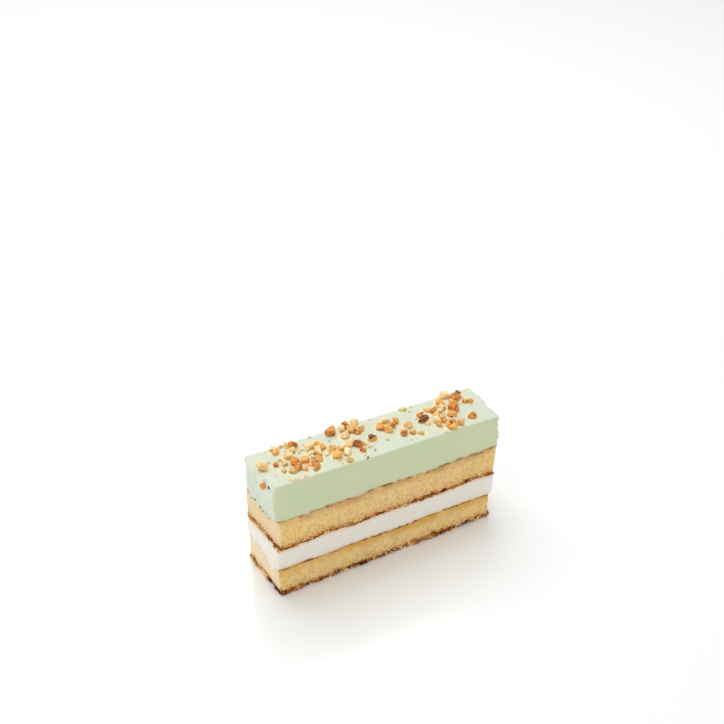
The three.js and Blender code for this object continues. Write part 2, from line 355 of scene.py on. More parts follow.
def shell_rings(cell, largest_round, margin):
    """The rings of a shell, from its underside up the wall to its top: the stretch and the share of it."""
    margin_steps = max(1, round((margin - EDGE_ALLOWANCE) / cell))
    arc_steps = max(2, round(largest_round * math.pi / 2 / cell))
    wall_steps = round((MOUSSE_BOTTOM[0] - CREAM_TOP[0]) / cell)
    rings = [("under", n / margin_steps) for n in range(margin_steps)]
    rings += [("low arc", n / arc_steps) for n in range(arc_steps)]
    rings += [("wall", n / wall_steps) for n in range(wall_steps)]
    rings += [("high arc", n / arc_steps) for n in range(arc_steps)]
    rings += [("over", n / margin_steps) for n in range(margin_steps + 1)]
    return rings


def ring_lie(stretch, share, low_radius, high_radius, margin):
    """How far in from the outline a ring lies, and the tilt of the surface there."""
    if stretch == "under":
        return mix(margin, low_radius, share), -math.pi / 2
    if stretch == "low arc":
        tilt = -math.pi / 2 * (1 - share)
        return low_radius * (1 - math.cos(tilt)), tilt
    if stretch == "wall":
        return 0 * low_radius, 0.0
    if stretch == "high arc":
        tilt = math.pi / 2 * share
        return high_radius * (1 - math.cos(tilt)), tilt
    return mix(high_radius, margin, share), math.pi / 2


def ring_height(stretch, share, tilt, low_edge, high_edge):
    """The height of a ring. Both edges are the height of a face and the radius of its edge."""
    bottom, low_radius = low_edge
    top, high_radius = high_edge
    if stretch in ("under", "low arc"):
        return bottom + low_radius * (1 + math.sin(tilt))
    if stretch == "wall":
        return mix(bottom + low_radius, top - high_radius, share)
    return top - high_radius * (1 - math.sin(tilt))


def layer_shell(low, high, cell, corner, low_round, high_round, low_cell=2.5, high_cell=2.5, margin=1.2):
    """The closed surface of a layer, as an object with arrays that hold one value for each point.

    low and high give the heights of the layer's underside and top at shares of the slice and at a distance
    in from its outline. low_round and high_round give the radius of its lower and upper edge, at a cut face
    and at an end. cell, low_cell and high_cell are the sizes of its faces on the wall, below and on top.
    """
    x, y, turn, loop_at = outline(cell, corner)
    end = np.cos(turn) ** 2
    low_radius = mix(low_round[0], low_round[1], end)
    high_radius = mix(high_round[0], high_round[1], end)
    rings = shell_rings(cell, max(*low_round, *high_round), margin)
    parts = []
    for stretch, share in rings:
        inset, tilt = ring_lie(stretch, share, low_radius, high_radius, margin)
        along = mix(x / LENGTH, 0.5, 2 * inset / LENGTH)
        across = mix(y / TOP_WIDTH, 0.5, 2 * inset / TOP_WIDTH)
        bottom = low(along, across, inset)
        top = high(along, across, inset)
        height = ring_height(stretch, share, tilt, (bottom, low_radius), (top, high_radius))
        parts.append((along, across, height, bottom, top, inset, turn, np.full_like(x, tilt)))
    number = np.arange(len(rings) * len(x)).reshape(len(rings), len(x))
    onward = np.roll(number, -1, axis=1)
    faces = np.stack([number[:-1], onward[:-1], onward[1:], number[1:]], -1).reshape(-1, 4).tolist()
    count = number.size
    for ring, grid_cell, face_up in ((number[0], low_cell, False), (number[-1], high_cell, True)):
        inset = margin + CAP_GAP * min(grid_cell, 1.0)
        grid_x, grid_y, quads, rim, rim_at = flat_grid(inset, grid_cell)
        along, across = grid_x / LENGTH, grid_y / TOP_WIDTH
        inset = np.full_like(along, inset)
        bottom = low(along, across, inset)
        top = high(along, across, inset)
        height = top if face_up else bottom
        tilt = np.full_like(along, math.pi / 2 if face_up else -math.pi / 2)
        parts.append((along, across, height, bottom, top, inset, 0 * along, tilt))
        cap = (quads + count).tolist() + zip_loops(ring, rim + count, loop_at, rim_at)
        faces += cap if face_up else [face[::-1] for face in cap]
        count += len(grid_x)
    along, across, height, bottom, top, inset, turn, tilt = (np.concatenate(part) for part in zip(*parts))
    wall = np.cos(tilt)
    end = np.cos(turn) ** 2
    return SimpleNamespace(
        point=slice_point(along, across, height),
        facing=np.stack([np.cos(turn) * wall, np.sin(turn) * wall, np.sin(tilt)], 1),
        faces=faces,
        along=along,
        across=across,
        rise=height - bottom,
        below=top - height,
        inset=inset,
        wall=wall,
        up=np.sin(tilt),
        end=end * wall,
        left=np.where(np.cos(turn) < 0, end, 0) * wall,
        calm=1 - (1 - CORNER_RELIEF) * np.abs(np.sin(2 * turn)),
    )


# ---- Making pieces ----


def make_piece(name, points, faces, material, marks=()):
    """A mesh piece of the slice. points are millimetres, and marks are named numbers, one for each point."""
    mesh = bpy.data.meshes.new(name)
    mesh.from_pydata(((points + FOOT_CORNER) * MM).tolist(), [], faces)
    for mark, values in dict(marks).items():
        layer = mesh.attributes.new(mark, "FLOAT", "POINT")
        layer.data.foreach_set("value", np.asarray(values, np.float32))
    mesh.shade_smooth()
    mesh.materials.append(material)
    mesh.validate()
    piece = bpy.data.objects.new(name, mesh)
    bpy.context.scene.collection.objects.link(piece)
    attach(piece, "root")
    return piece


class Heap:
    """Many small solids gathered for one piece, each with a mark of its own."""

    def __init__(self):
        self.points = []
        self.faces = []
        self.marks = {}
        self.count = 0

    def add(self, points, faces, **marks):
        self.points.append(points)
        self.faces += [tuple(corner + self.count for corner in face) for face in faces]
        self.count += len(points)
        for mark, value in marks.items():
            self.marks.setdefault(mark, []).append(np.broadcast_to(value, len(points)))

    def piece(self, name, material, slot):
        marks = {mark: np.concatenate(values) for mark, values in self.marks.items()}
        return make_piece(name, np.concatenate(self.points), self.faces, material, marks)


# ---- The sponges ----

# Two rounds are the radius of an edge at a cut face and at an end.
SPONGE_CELL = 0.22
FOOT_CELL = 0.6
SPONGE_CORNER = 0.7
FOOT_ROUNDS = (0.25, 0.25)
CRUST_ROUNDS = (0.2, 0.2)
SKIN_ROUNDS = (0.1, 0.1)
GRAIN = 0.06  # the fine crumb between the pores
GRAIN_SIZE = 0.55
PORE_SPACING = 1.5
PORE_RADIUS = 0.42
PORE_DEPTH = 0.2
CLUMP_SPACING = 1.0  # the clumps of crumb in the crust
CLUMP_RADIUS = 0.62
CLUMP_HEIGHT = 1.6
SKIN_GROOVE = 0.08  # how far the skin on top draws in
SKIN_HEIGHT = 0.45
JOINT_OVERLAP = 0.12
TORN_REACH = 0.8  # how far in from the outline a torn lower edge reaches
END_GLOW = 16.0  # how far in from its ends the cut sponge is more golden, and painted lighter as light


def sponge_relief(shell, seed, crags, clumps):
    """How far each point of a sponge stands out, and the depth of the pore or hollow that it lies in.

    crags is the share of the solid's crags that is kept, and clumps is how far its crust's clumps stand out.
    """
    point = shell.point
    crumb = CRUMB_RELIEF * roughness(point, CRUMB_SIZE)
    crag = crags * CRUST_RELIEF * clamp(1 - shell.rise / CRUST_HEIGHT) * roughness(point, CRUST_SIZE, 40)
    grain = GRAIN * (roughness(point, GRAIN_SIZE, seed) + 0.6 * roughness(point, GRAIN_SIZE / 2, seed))
    distance, luck = nearest_speck(point, PORE_SPACING, seed)
    pore = PORE_DEPTH * ease(1 - distance / (PORE_RADIUS * (0.25 + luck))) * (0.3 + luck)
    distance, luck = nearest_speck(point, CLUMP_SPACING, seed + 50)
    in_crust = ease(1.3 - shell.rise / CLUMP_HEIGHT + 0.5 * roughness(point, 2.2, seed + 9))
    clump = clumps * in_crust * (ease(1 - distance / CLUMP_RADIUS) * (0.4 + luck) - 0.45)
    skin = SKIN_GROOVE * ease(1 - shell.below / SKIN_HEIGHT) * (1 + roughness(point, 1.8, 90))
    push = (crumb + crag + clump) * shell.calm + grain - pore * (1 - 0.5 * in_crust) - skin
    hollow = pore - clump
    return push * np.maximum(shell.wall, 0.35), hollow


def sponge_marks(shell, hollow):
    """What the finish of a sponge goes by. near_end is 1 on a cut face at the ends of the slice."""
    near_end = clamp(1 - np.minimum(shell.along, 1 - shell.along) * LENGTH / END_GLOW) * (1 - shell.end)
    return {
        "rise": shell.rise,
        "below": shell.below,
        "end": shell.end,
        # The depth of the pore or hollow, which the finish darkens as painted shade.
        "hollow": hollow,
        "near_end": near_end,
    }


def make_base_sponge(material):
    def underside(along, across, inset):
        point = slice_point(along, across, 0 * along)
        rim = clamp(1 - inset / 1.1) ** 2
        chip = FOOT_CHIP * clamp(noise(point[:, 0] / CRUST_SIZE, point[:, 1] / CRUST_SIZE, 70))
        nick = 0.5 * clamp(noise(point[:, 0] / 0.9, point[:, 1] / 0.9, 71))
        return rim * (chip + nick)

    top = lifted(CREAM_BOTTOM, JOINT_OVERLAP)
    shell = layer_shell(
        underside, top, SPONGE_CELL, SPONGE_CORNER, FOOT_ROUNDS, SKIN_ROUNDS, low_cell=FOOT_CELL
    )
    push, hollow = sponge_relief(shell, seed=11, crags=1.0, clumps=0.5)
    # The underside is only pitted, so that the slice stands as its solid does.
    push = np.where(shell.up < -0.5, -0.35 * np.abs(push), push)
    point = shell.point + shell.facing * push[:, None]
    point[:, 2] = np.maximum(point[:, 2], 0)
    marks = sponge_marks(shell, hollow)
    piece = make_piece("base_sponge_crumb", point, shell.faces, material, marks)
    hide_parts("base_sponge")


def make_upper_sponge(material):
    def underside(along, across, inset):
        point = slice_point(along, across, 0 * along)
        rim = clamp(1 - inset / 0.9)
        torn = 0.2 * noise(point[:, 0] / 1.6, point[:, 1] / 1.6, 75) + 0.1
        return joint_height(CREAM_TOP, along, across) - JOINT_OVERLAP + rim * torn

    top = lifted(MOUSSE_BOTTOM, JOINT_OVERLAP)
    shell = layer_shell(underside, top, SPONGE_CELL, SPONGE_CORNER, CRUST_ROUNDS, SKIN_ROUNDS)
    push, hollow = sponge_relief(shell, seed=23, crags=0.5, clumps=0.28)
    point = shell.point + shell.facing * push[:, None]
    marks = sponge_marks(shell, hollow)
    piece = make_piece("upper_sponge_crumb", point, shell.faces, material, marks)
    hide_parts("upper_sponge")


# ---- The cream ----

CREAM_CELL = 0.4
CREAM_CORNER = 0.7
CREAM_LOW_ROUNDS = (0.2, 0.4)
CREAM_HIGH_ROUNDS = (0.1, 0.3)
CREAM_RELIEF = 0.14
SMOOTH_LUMP = 6.0
CREAM_SMEAR = 0.05
CREAM_TEETH = 0.34  # how far its lower edge strays along the cuts
CREAM_DRIP = 1.5  # how far it is smeared down at the ends


def smeared(along, across):
    """How far the cream is smeared down over the lower sponge at an end."""
    y = across * TOP_WIDTH
    return CREAM_DRIP * clamp(0.35 + ragged(y, 7 * np.round(along), 3.2, 38))


def make_cream(material):
    def underside(along, across, inset):
        stray = CREAM_TEETH * ragged(along * LENGTH, across * TOP_WIDTH, 1.3, 36)
        stray = mix(stray, smeared(along, across), at_end(along))
        reach = clamp(1 - inset / TORN_REACH)
        return joint_height(CREAM_BOTTOM, along, across) - JOINT_OVERLAP - reach * stray

    top = lifted(CREAM_TOP, 2 * JOINT_OVERLAP)
    shell = layer_shell(underside, top, CREAM_CELL, CREAM_CORNER, CREAM_LOW_ROUNDS, CREAM_HIGH_ROUNDS)
    point = shell.point
    belly = np.sin(math.pi * clamp(shell.rise / (CREAM_TOP[0] - CREAM_BOTTOM[0])))
    smooth = CREAM_RELIEF * roughness(point, SMOOTH_LUMP, 20)
    smear = CREAM_SMEAR * noise(point[:, 0] / 2.5, point[:, 1] / 2.5, point[:, 2] / 0.9 + 5)
    lumps = 0.18 * shell.end * roughness(point, 2.4, 33)
    lip = 0.4 * shell.end * ease(1.2 - shell.rise / 1.5) * clamp(smeared(shell.along, shell.across))
    bulge = CREAM_BULGE * (shell.end * 0.4 + shell.left * 0.6) * belly
    push = (smooth + smear + lumps) * shell.calm + bulge + lip
    point = point + shell.facing * (push * shell.wall)[:, None]
    marks = {"rise": shell.rise, "below": shell.below}
    piece = make_piece("cream_layer", point, shell.faces, material, marks)
    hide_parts("white_cream")


# ---- The nuts ----


def scatter_nuts(draw):
    """Each nut's place, size and kind, in the order in which they fell."""
    nuts = []

    def add(x, y, size, kind):
        nuts.append(SimpleNamespace(x=x, y=y, z=top_height(x, y), size=size, kind=kind))

    for x, y, size, kind in LONE_NUTS:
        add(x, y, size, kind)
    for middle_x, middle_y, radius, count in HANDFULS:
        for _ in range(count):
            size = mix(*NUT_SIZES, draw() ** NUT_SMALLNESS)
            for _ in range(NUT_TRIES):
                turn = 2 * math.pi * draw()
                reach = radius * math.sqrt(draw())
                x = min(max(middle_x + reach * math.cos(turn), NUT_EDGE), LENGTH - NUT_EDGE)
                y = min(max(middle_y + reach * math.sin(turn), NUT_EDGE), TOP_WIDTH - NUT_EDGE)
                if all(math.hypot(o.x - x, o.y - y) > NUT_CROWDING * (o.size + size) for o in nuts):
                    add(x, y, size, None)
                    break
    y, depth, size, clear = STRAY_NUT
    x, _, z = slice_point(0.0, y / TOP_WIDTH, MOUSSE_TOP[0] - depth)
    nuts.append(SimpleNamespace(x=x - clear, y=y, z=z, size=size, kind="toasted"))
    return nuts


def nut_corners(nut, draw):
    """The corners of an angular chopped piece, strewn over a flattened ball that is turned at random."""
    width = nut.size * mix(*NUT_FLATNESS, draw())
    height = width * mix(*NUT_FLATNESS, draw())
    turn = 2 * math.pi * draw()
    corners = []
    for n in range(NUT_CORNERS):
        up = 2 * (n + draw()) / NUT_CORNERS - 1
        bearing = 2 * math.pi * draw()
        flat = math.sqrt(1 - up * up)
        a = nut.size / 2 * flat * math.cos(bearing)
        b = width / 2 * flat * math.sin(bearing)
        x = nut.x + a * math.cos(turn) - b * math.sin(turn)
        y = nut.y + a * math.sin(turn) + b * math.cos(turn)
        corners.append((x, y, nut.z + height / 2 * (up + 1 - 2 * NUT_SUNK)))
    return corners


def chopped_piece(corners, bevel):
    """The hull of corners with worn edges and a broken surface.

    Returns its points, its faces, the directions that the points face and how far they stand out.
    """
    mesh = bmesh.new()
    for corner in corners:
        mesh.verts.new(corner)
    bmesh.ops.convex_hull(mesh, input=mesh.verts[:])
    spare = [vert for vert in mesh.verts if not vert.link_faces]
    bmesh.ops.delete(mesh, geom=spare, context="VERTS")
    bmesh.ops.bevel(mesh, geom=mesh.edges[:], offset=bevel, segments=2, profile=0.6, affect="EDGES")
    bmesh.ops.triangulate(mesh, faces=mesh.faces[:])
    bmesh.ops.subdivide_edges(mesh, edges=mesh.edges[:], cuts=2, use_grid_fill=True)
    mesh.normal_update()
    mesh.verts.index_update()
    points = np.array([vert.co for vert in mesh.verts])
    facing = np.array([vert.normal for vert in mesh.verts])
    faces = [tuple(vert.index for vert in face.verts) for face in mesh.faces]
    mesh.free()
    broken = 0.1 * roughness(points, 0.8, 7) + 0.06 * roughness(points, 0.35, 8)
    return points + facing * broken[:, None], faces, facing, broken


NUT_WEAR = 0.045  # the bevel of a nut's edges, as a share of its size
NUT_SIDES = 0.16  # how much the sides of one nut differ in tone
KIND_CHANCES = (("pale", 0.43), ("toasted", 0.54), ("skinned", 0.03))
KIND_SEED = 77


def make_nuts(nuts, draw, materials):
    """One piece for each kind of nut. The numbers drawn for their shapes continue those of the scatter."""
    luck = random_numbers(KIND_SEED)
    heaps = {kind: Heap() for kind in materials}
    for nut in nuts:
        kind = nut.kind
        chance = luck()
        tone = luck()
        for name, share in KIND_CHANCES:
            if kind is None and chance < share:
                kind = name
            chance -= share
        corners = nut_corners(nut, draw)
        points, faces, facing, broken = chopped_piece(corners, NUT_WEAR * nut.size)
        side = Vector((luck() - 0.5, luck() - 0.5, luck() - 0.1)).normalized()
        sides = roughness(facing + np.array([nut.x, nut.y, 0.0]), 0.9, 9)
        # The broken mark is the surface relief, which the finish paints as shade, plus a random tone for each
        # side.
        heaps[kind or "pale"].add(
            points, faces, tone=tone, skin=facing @ np.array(side), broken=broken + NUT_SIDES * sides
        )
    for kind, heap in heaps.items():
        heap.piece(kind + "_nuts", materials[kind], "nut")


# ---- The mousse ----

MOUSSE_CELL = 0.36
MOUSSE_TOP_CELL = 0.34
MOUSSE_CORNER = 0.6
MOUSSE_MARGIN = 2.4
MOUSSE_LOW_ROUNDS = (0.12, 0.35)
MOUSSE_HIGH_ROUNDS = (CUT_ROUND, END_ROUND)
CUT_RELIEF = 0.1
END_STREAK = 0.12
LIP = 0.45  # how far the mousse hangs over the sponge at the ends
LIP_LUMP = 1.2
TEETH = 0.3  # how far its lower edge strays along the cuts
TEETH_SIZE = 1.7

# How far the mousse is smeared down over the left end: the place from front to back, then how far.
SMEAR = ((0.0, 0.1), (2.5, 0.8), (5.0, 1.3), (7.5, 1.4), (9.8, 1.0), (11.3, 0.1), (15.3, 0.4), (17.0, 0.0))
DAB = 0.12  # the soft dabs of the spread top
DAB_SIZE = 3.4


def nearest_nut(point, nuts):
    """How far each point lies from the edge of the nearest nut, seen from above."""
    distance = np.full(len(point), np.inf)
    for nut in nuts:
        gap = np.hypot(point[:, 0] - nut.x, point[:, 1] - nut.y) - 0.42 * nut.size
        distance = np.minimum(distance, gap)
    return distance


def make_mousse(material, nuts):
    """Makes the mousse and returns the points of its left end."""

    def overhang(along, across, inset):
        x, y = along * LENGTH, across * TOP_WIDTH
        drips = ragged(y, np.round(along), LIP_LUMP, 31)
        smear = np.where(along < 0.5, np.interp(y, *np.array(SMEAR).T), 0.2)
        teeth = TEETH * ragged(x, y, TEETH_SIZE, 33)
        return clamp(1 - inset / TORN_REACH) * mix(teeth, smear + LIP * drips, at_end(along))

    def underside(along, across, inset):
        return joint_height(MOUSSE_BOTTOM, along, across) - JOINT_OVERLAP - overhang(along, across, inset)

    top = lifted(MOUSSE_TOP, 0.0)
    shell = layer_shell(
        underside,
        top,
        MOUSSE_CELL,
        MOUSSE_CORNER,
        MOUSSE_LOW_ROUNDS,
        MOUSSE_HIGH_ROUNDS,
        high_cell=MOUSSE_TOP_CELL,
        margin=MOUSSE_MARGIN,
    )
    point = shell.point
    x, y, z = point.T
    lumps = MOUSSE_END_RELIEF * noise(x, y / MOUSSE_END_LUMP, z / MOUSSE_END_LUMP + 80)
    streaks = END_STREAK * (noise(x, y / 0.9, z / 4.5 + 12) + 0.5 * noise(x, y / 0.4, z / 3.0 + 13))
    knuckles = np.abs(roughness(point, 1.5, 52)) * np.where(shell.along > 0.5, 0.6, 0.1)
    hang = overhang(shell.along, shell.across, shell.inset)
    lip = 0.25 * ease(1 - shell.rise / 1.2) * clamp(2 * hang, 0, 1.3)
    cut = CUT_RELIEF * roughness(point, SMOOTH_LUMP, 60) + 0.02 * noise(x / 3, y / 3, z / 0.6)
    torn = shell.end * (lumps + streaks) * shell.calm + np.sqrt(shell.end) * knuckles
    push_out = torn + (1 - shell.end) * cut + lip
    gap = nearest_nut(point, nuts[:-1])
    collar = 0.14 * ease(1 - np.abs(gap - 0.15) / 0.75)
    dabs = DAB * noise(x / DAB_SIZE, y / DAB_SIZE, 41) + 0.05 * noise(x / 1.3, y / 1.3, 42)
    push_up = collar + dabs * clamp(shell.inset / 1.2)
    push = push_out * shell.wall + push_up * clamp(shell.up)
    point = point + shell.facing * push[:, None]
    marks = {
        "near_nut": ease(1 - gap / 1.6) * clamp(shell.up),
        "end": shell.end,
        "rise": shell.rise,
        "top": clamp(shell.up),
    }
    piece = make_piece("mousse_layer", point, shell.faces, material, marks)
    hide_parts("pistachio_mousse")
    return point[(shell.left > 0.3) & (shell.up > -0.5)]


# ---- Loose crumbs ----

CRUMB_SEED = 4242
FULL_TURN = 6.3  # radians, near enough
CLUMP_PIECES = 12
CLUMP_WIDTH = 1.4

# The sides of the outline that loose crumbs and clumps fall to: 0 the front cut, 1 the right end, 2 the back
# cut and 3 the left end. A side that is named more often gets more.
LOOSE_SIDES = (0, 0, 0, 2, 2, 2, 1, 3)
CLUMP_SIDES = (0, 0, 2, 1, 3, 3)

# The crumbs of each crust: the joint that it lies on, the loose ones, the clumps, how high the loose ones
# reach, the largest loose one and the largest in a clump.
CRUST_CRUMBS = ((FOOT, 700, 46, 1.5, 1.1, 1.2), (CREAM_TOP, 600, 26, 1.4, 0.75, 0.9))

# The crumbs gathered at a corner: the joint, their number, where they start on the outline and how far they
# go along the end and along the front cut, how high they reach, and the largest.
CORNER_CRUMBS = (
    (FOOT, 40, (4.0, -0.09), (0.0, 0.028), 0.9, 0.95),
    (CREAM_TOP, 24, (1.0, 0.08), (0.999, -0.03), 1.1, 0.9),
)

BITS_OF_A_NUT = 3.2  # each nut has fewer fine bits round it than this
BIT_SIZES = (0.6, 1.2)

# The dark flakes of skin on top of the mousse: place and size.
FLAKES = ((31.0, 0.4, 0.9), (31.6, 0.6, 0.6), (25.2, 13.6, 0.7), (66.0, 6.9, 0.9))

# Pale bits that lie flush in its front edge: place and size.
FLUSH_BITS = ((4.6, 1.6, 2.0), (5.9, 1.0, 2.2), (9.0, 0.7, 2.4), (10.2, 1.3, 1.6), (2.6, 5.4, 1.4))

# The dark specks on its left end: the place from front to back, the height, the size and the tone.
END_SPECKS = (
    (2.3, 38.9, 1.1, 0.0),
    (2.9, 39.2, 0.7, 0.0),
    (5.3, 25.4, 0.9, 0.1),
    (6.2, 25.9, 0.7, 0.1),
    (8.8, 25.7, 0.7, 0.05),
    (10.4, 26.6, 0.9, 0.1),
    (12.8, 27.8, 0.9, 0.05),
    (15.4, 26.8, 0.8, 0.1),
    (16.2, 26.9, 0.6, 0.1),
    (17.6, 27.2, 0.8, 0.05),
)


def lump_shape(rounds):
    """A ball of small triangles that crumbs are made from."""
    mesh = bmesh.new()
    bmesh.ops.create_icosphere(mesh, subdivisions=rounds, radius=1.0)
    mesh.verts.index_update()
    points = np.array([vert.co for vert in mesh.verts])
    faces = [tuple(vert.index for vert in face.verts) for face in mesh.faces]
    mesh.free()
    return points, faces


CRUMB_BALL = lump_shape(2)


def crumb(heap, place, size, draw, tone):
    """One crumb: a ball pulled out of shape by the noise at its own place."""
    points, faces = CRUMB_BALL
    turn = np.array(Euler([FULL_TURN * draw() for _ in range(3)]).to_matrix())
    stretch = np.array([1.0, mix(0.55, 0.95, draw()), mix(0.45, 0.85, draw())])
    own = points + np.array(place) * 3.7
    uneven = 1 + 0.5 * roughness(own, 0.85) + 0.25 * roughness(own, 0.4)
    lump = (points * stretch * uneven[:, None] * size / 2) @ turn.T + np.array(place)
    lump[:, 2] -= min(lump[:, 2].min(), 0)
    heap.add(lump, faces, tone=tone)


def cling(heap, joint, loop_at, height, size, draw):
    """Sets one crumb on the crust above a joint. loop_at counts the sides of the outline from 0 to 4."""
    side = int(loop_at) % 4
    share = loop_at - int(loop_at)
    along, across = ((share, 0.0), (1.0, share), (1 - share, 1.0), (0.0, 1 - share))[side]
    out = np.array(((0, -1, 0), (1, 0, 0), (0, 1, 0), (-1, 0, 0))[side])
    on_cut = joint is not FOOT and side in (0, 2)
    clear = 0.1 + 0.4 * size if on_cut else 0.0
    level = joint_height(joint, np.array([along]), np.array([across])) + clear + height
    point = slice_point(np.array([along]), np.array([across]), level)[0]
    reach = mix(-0.25, 0.05, draw()) if on_cut else mix(-0.2, 0.25, draw())
    patch = roughness(point[None] * (1, 1, 0), 3.2, 71)[0] - 0.3 * roughness(point[None], 14, 73)[0]
    paler = 0.4 * abs(along - 0.32) - 0.1 if joint is FOOT else -0.08
    crumb(heap, point + out * reach, size, draw, clamp(mix(0.25, 0.75, draw()) + patch + paler))


def make_crust_crumbs(material):
    """Crumbs that cling to the crust of both sponges, gathered in clumps here and there."""
    draw = random_numbers(CRUMB_SEED)
    heap = Heap()
    for joint, loose, clumps, reach, largest, largest_in_clump in CRUST_CRUMBS:
        for _ in range(loose):
            side = LOOSE_SIDES[int(len(LOOSE_SIDES) * draw())]
            size = mix(0.3, largest, draw() ** 2)
            cling(heap, joint, side + 0.999 * draw(), reach * draw() ** 1.6, size, draw)
        for _ in range(clumps):
            side = CLUMP_SIDES[int(len(CLUMP_SIDES) * draw())]
            middle = side + 0.94 * draw() + 0.03
            width = CLUMP_WIDTH / (LENGTH if side in (0, 2) else TOP_WIDTH)
            for _ in range(CLUMP_PIECES):
                place = middle + width * (draw() - 0.5)
                cling(heap, joint, place, 0.9 * draw(), mix(0.4, largest_in_clump, draw()), draw)
    for joint, count, on_end, on_cut, height, largest in CORNER_CRUMBS:
        for _ in range(count):
            start, reach = on_end if draw() < 0.4 else on_cut
            cling(heap, joint, start + reach * draw(), height * draw(), mix(0.4, largest, draw()), draw)
    heap.piece("crust_crumbs", material, "sponge")


def make_nut_bits(material, nuts, left_end):
    """The fine bits of nut that fall with the chopped pieces, and a few dark flakes of skin."""
    draw = random_numbers(CRUMB_SEED + 1)
    heap = Heap()
    for nut in nuts[:-1]:
        for _ in range(int(BITS_OF_A_NUT * draw())):
            turn = 2 * math.pi * draw()
            reach = nut.size * mix(0.6, 1.5, draw())
            x = nut.x + reach * math.cos(turn)
            y = nut.y + reach * math.sin(turn)
            size = mix(*BIT_SIZES, draw() ** 1.5)
            tone = mix(0.3, 1.0, draw())
            inside = 0.6 < x < LENGTH - 1.5 and 0.4 < y < TOP_WIDTH - 0.4
            if not inside or nearest_nut(np.array([[x, y, 0.0]]), nuts)[0] < 0:
                continue
            crumb(heap, (x, y, top_height(x, y) + 0.22 * size), size, draw, tone)
    for x, y, size in FLAKES:
        crumb(heap, (x, y, top_height(x, y) + 0.05), size, draw, 0.0)
    for x, y, size in FLUSH_BITS:
        crumb(heap, (x, y, top_height(x, y) - 0.2 * size), size, draw, 0.7)
    for y, z, size, tone in END_SPECKS:
        nearest = np.hypot(left_end[:, 1] - y, left_end[:, 2] - z).argmin()
        crumb(heap, left_end[nearest] + (0.1 * size, 0, 0), size, draw, tone)
    heap.piece("nut_bits", material, "nut")


# ---- Finishes ----

# The tints of each sponge: two of its cut crumb, then those of its crust and of its skin. reach is how far
# the crust rises and how far the crumb under the skin is damp.
# A skin's end tint is that of the paler end faces, partly painted light.
BASE_TINTS = ("#ffdc8c", "#f7d08d")
BASE_CRUST = SimpleNamespace(dark="#481d09", tan="#9c5a24", pale="#e6b468", reach=1.35)
BASE_SKIN = SimpleNamespace(edge="#845a2e", band="#c48d45", damp="#e4ad55", end="#fff0d2", reach=4.2)
UPPER_TINTS = ("#fdd788", "#f4cb8e")
UPPER_CRUST = SimpleNamespace(dark="#692d0d", tan="#b76a2a", pale="#ebb768", reach=1.5)
UPPER_SKIN = SimpleNamespace(edge="#8a6234", band="#b98750", damp="#d4a566", end="#f8e3c0", reach=3.6)

# The tones of the nuts, from the darkest to the palest.
PALE_TONES = ((0.05, "#dd9f48"), (0.4, "#f3cb82"), (0.9, "#fce6b4"))
TOASTED_TONES = ((0.0, "#9c4a12"), (0.2, "#d9842c"), (0.5, "#f0a744"), (0.95, "#f9cc7a"))
BIT_TONES = ((0.0, "#3c2416"), (0.12, "#4a2c18"), (0.2, "#e2a558"), (0.7, "#f8e4b4"))


class Link:
    """A socket of a finish. Python's arithmetic on it adds Math nodes."""

    def __init__(self, finish, socket):
        self.finish = finish
        self.socket = socket

    def __add__(self, other):
        return self.finish.math("ADD", self, other)

    def __sub__(self, other):
        return self.finish.math("SUBTRACT", self, other)

    def __rsub__(self, other):
        return self.finish.math("SUBTRACT", other, self)

    def __mul__(self, other):
        return self.finish.math("MULTIPLY", self, other)

    __radd__ = __add__
    __rmul__ = __mul__


def colour(code):
    """A colour of the picture, given as #rrggbb, as the linear colour that a shader takes."""
    parts = [int(code[n : n + 2], 16) / 255 for n in (1, 3, 5)]
    return (*(part / 12.92 if part <= 0.04045 else ((part + 0.055) / 1.055) ** 2.4 for part in parts), 1.0)


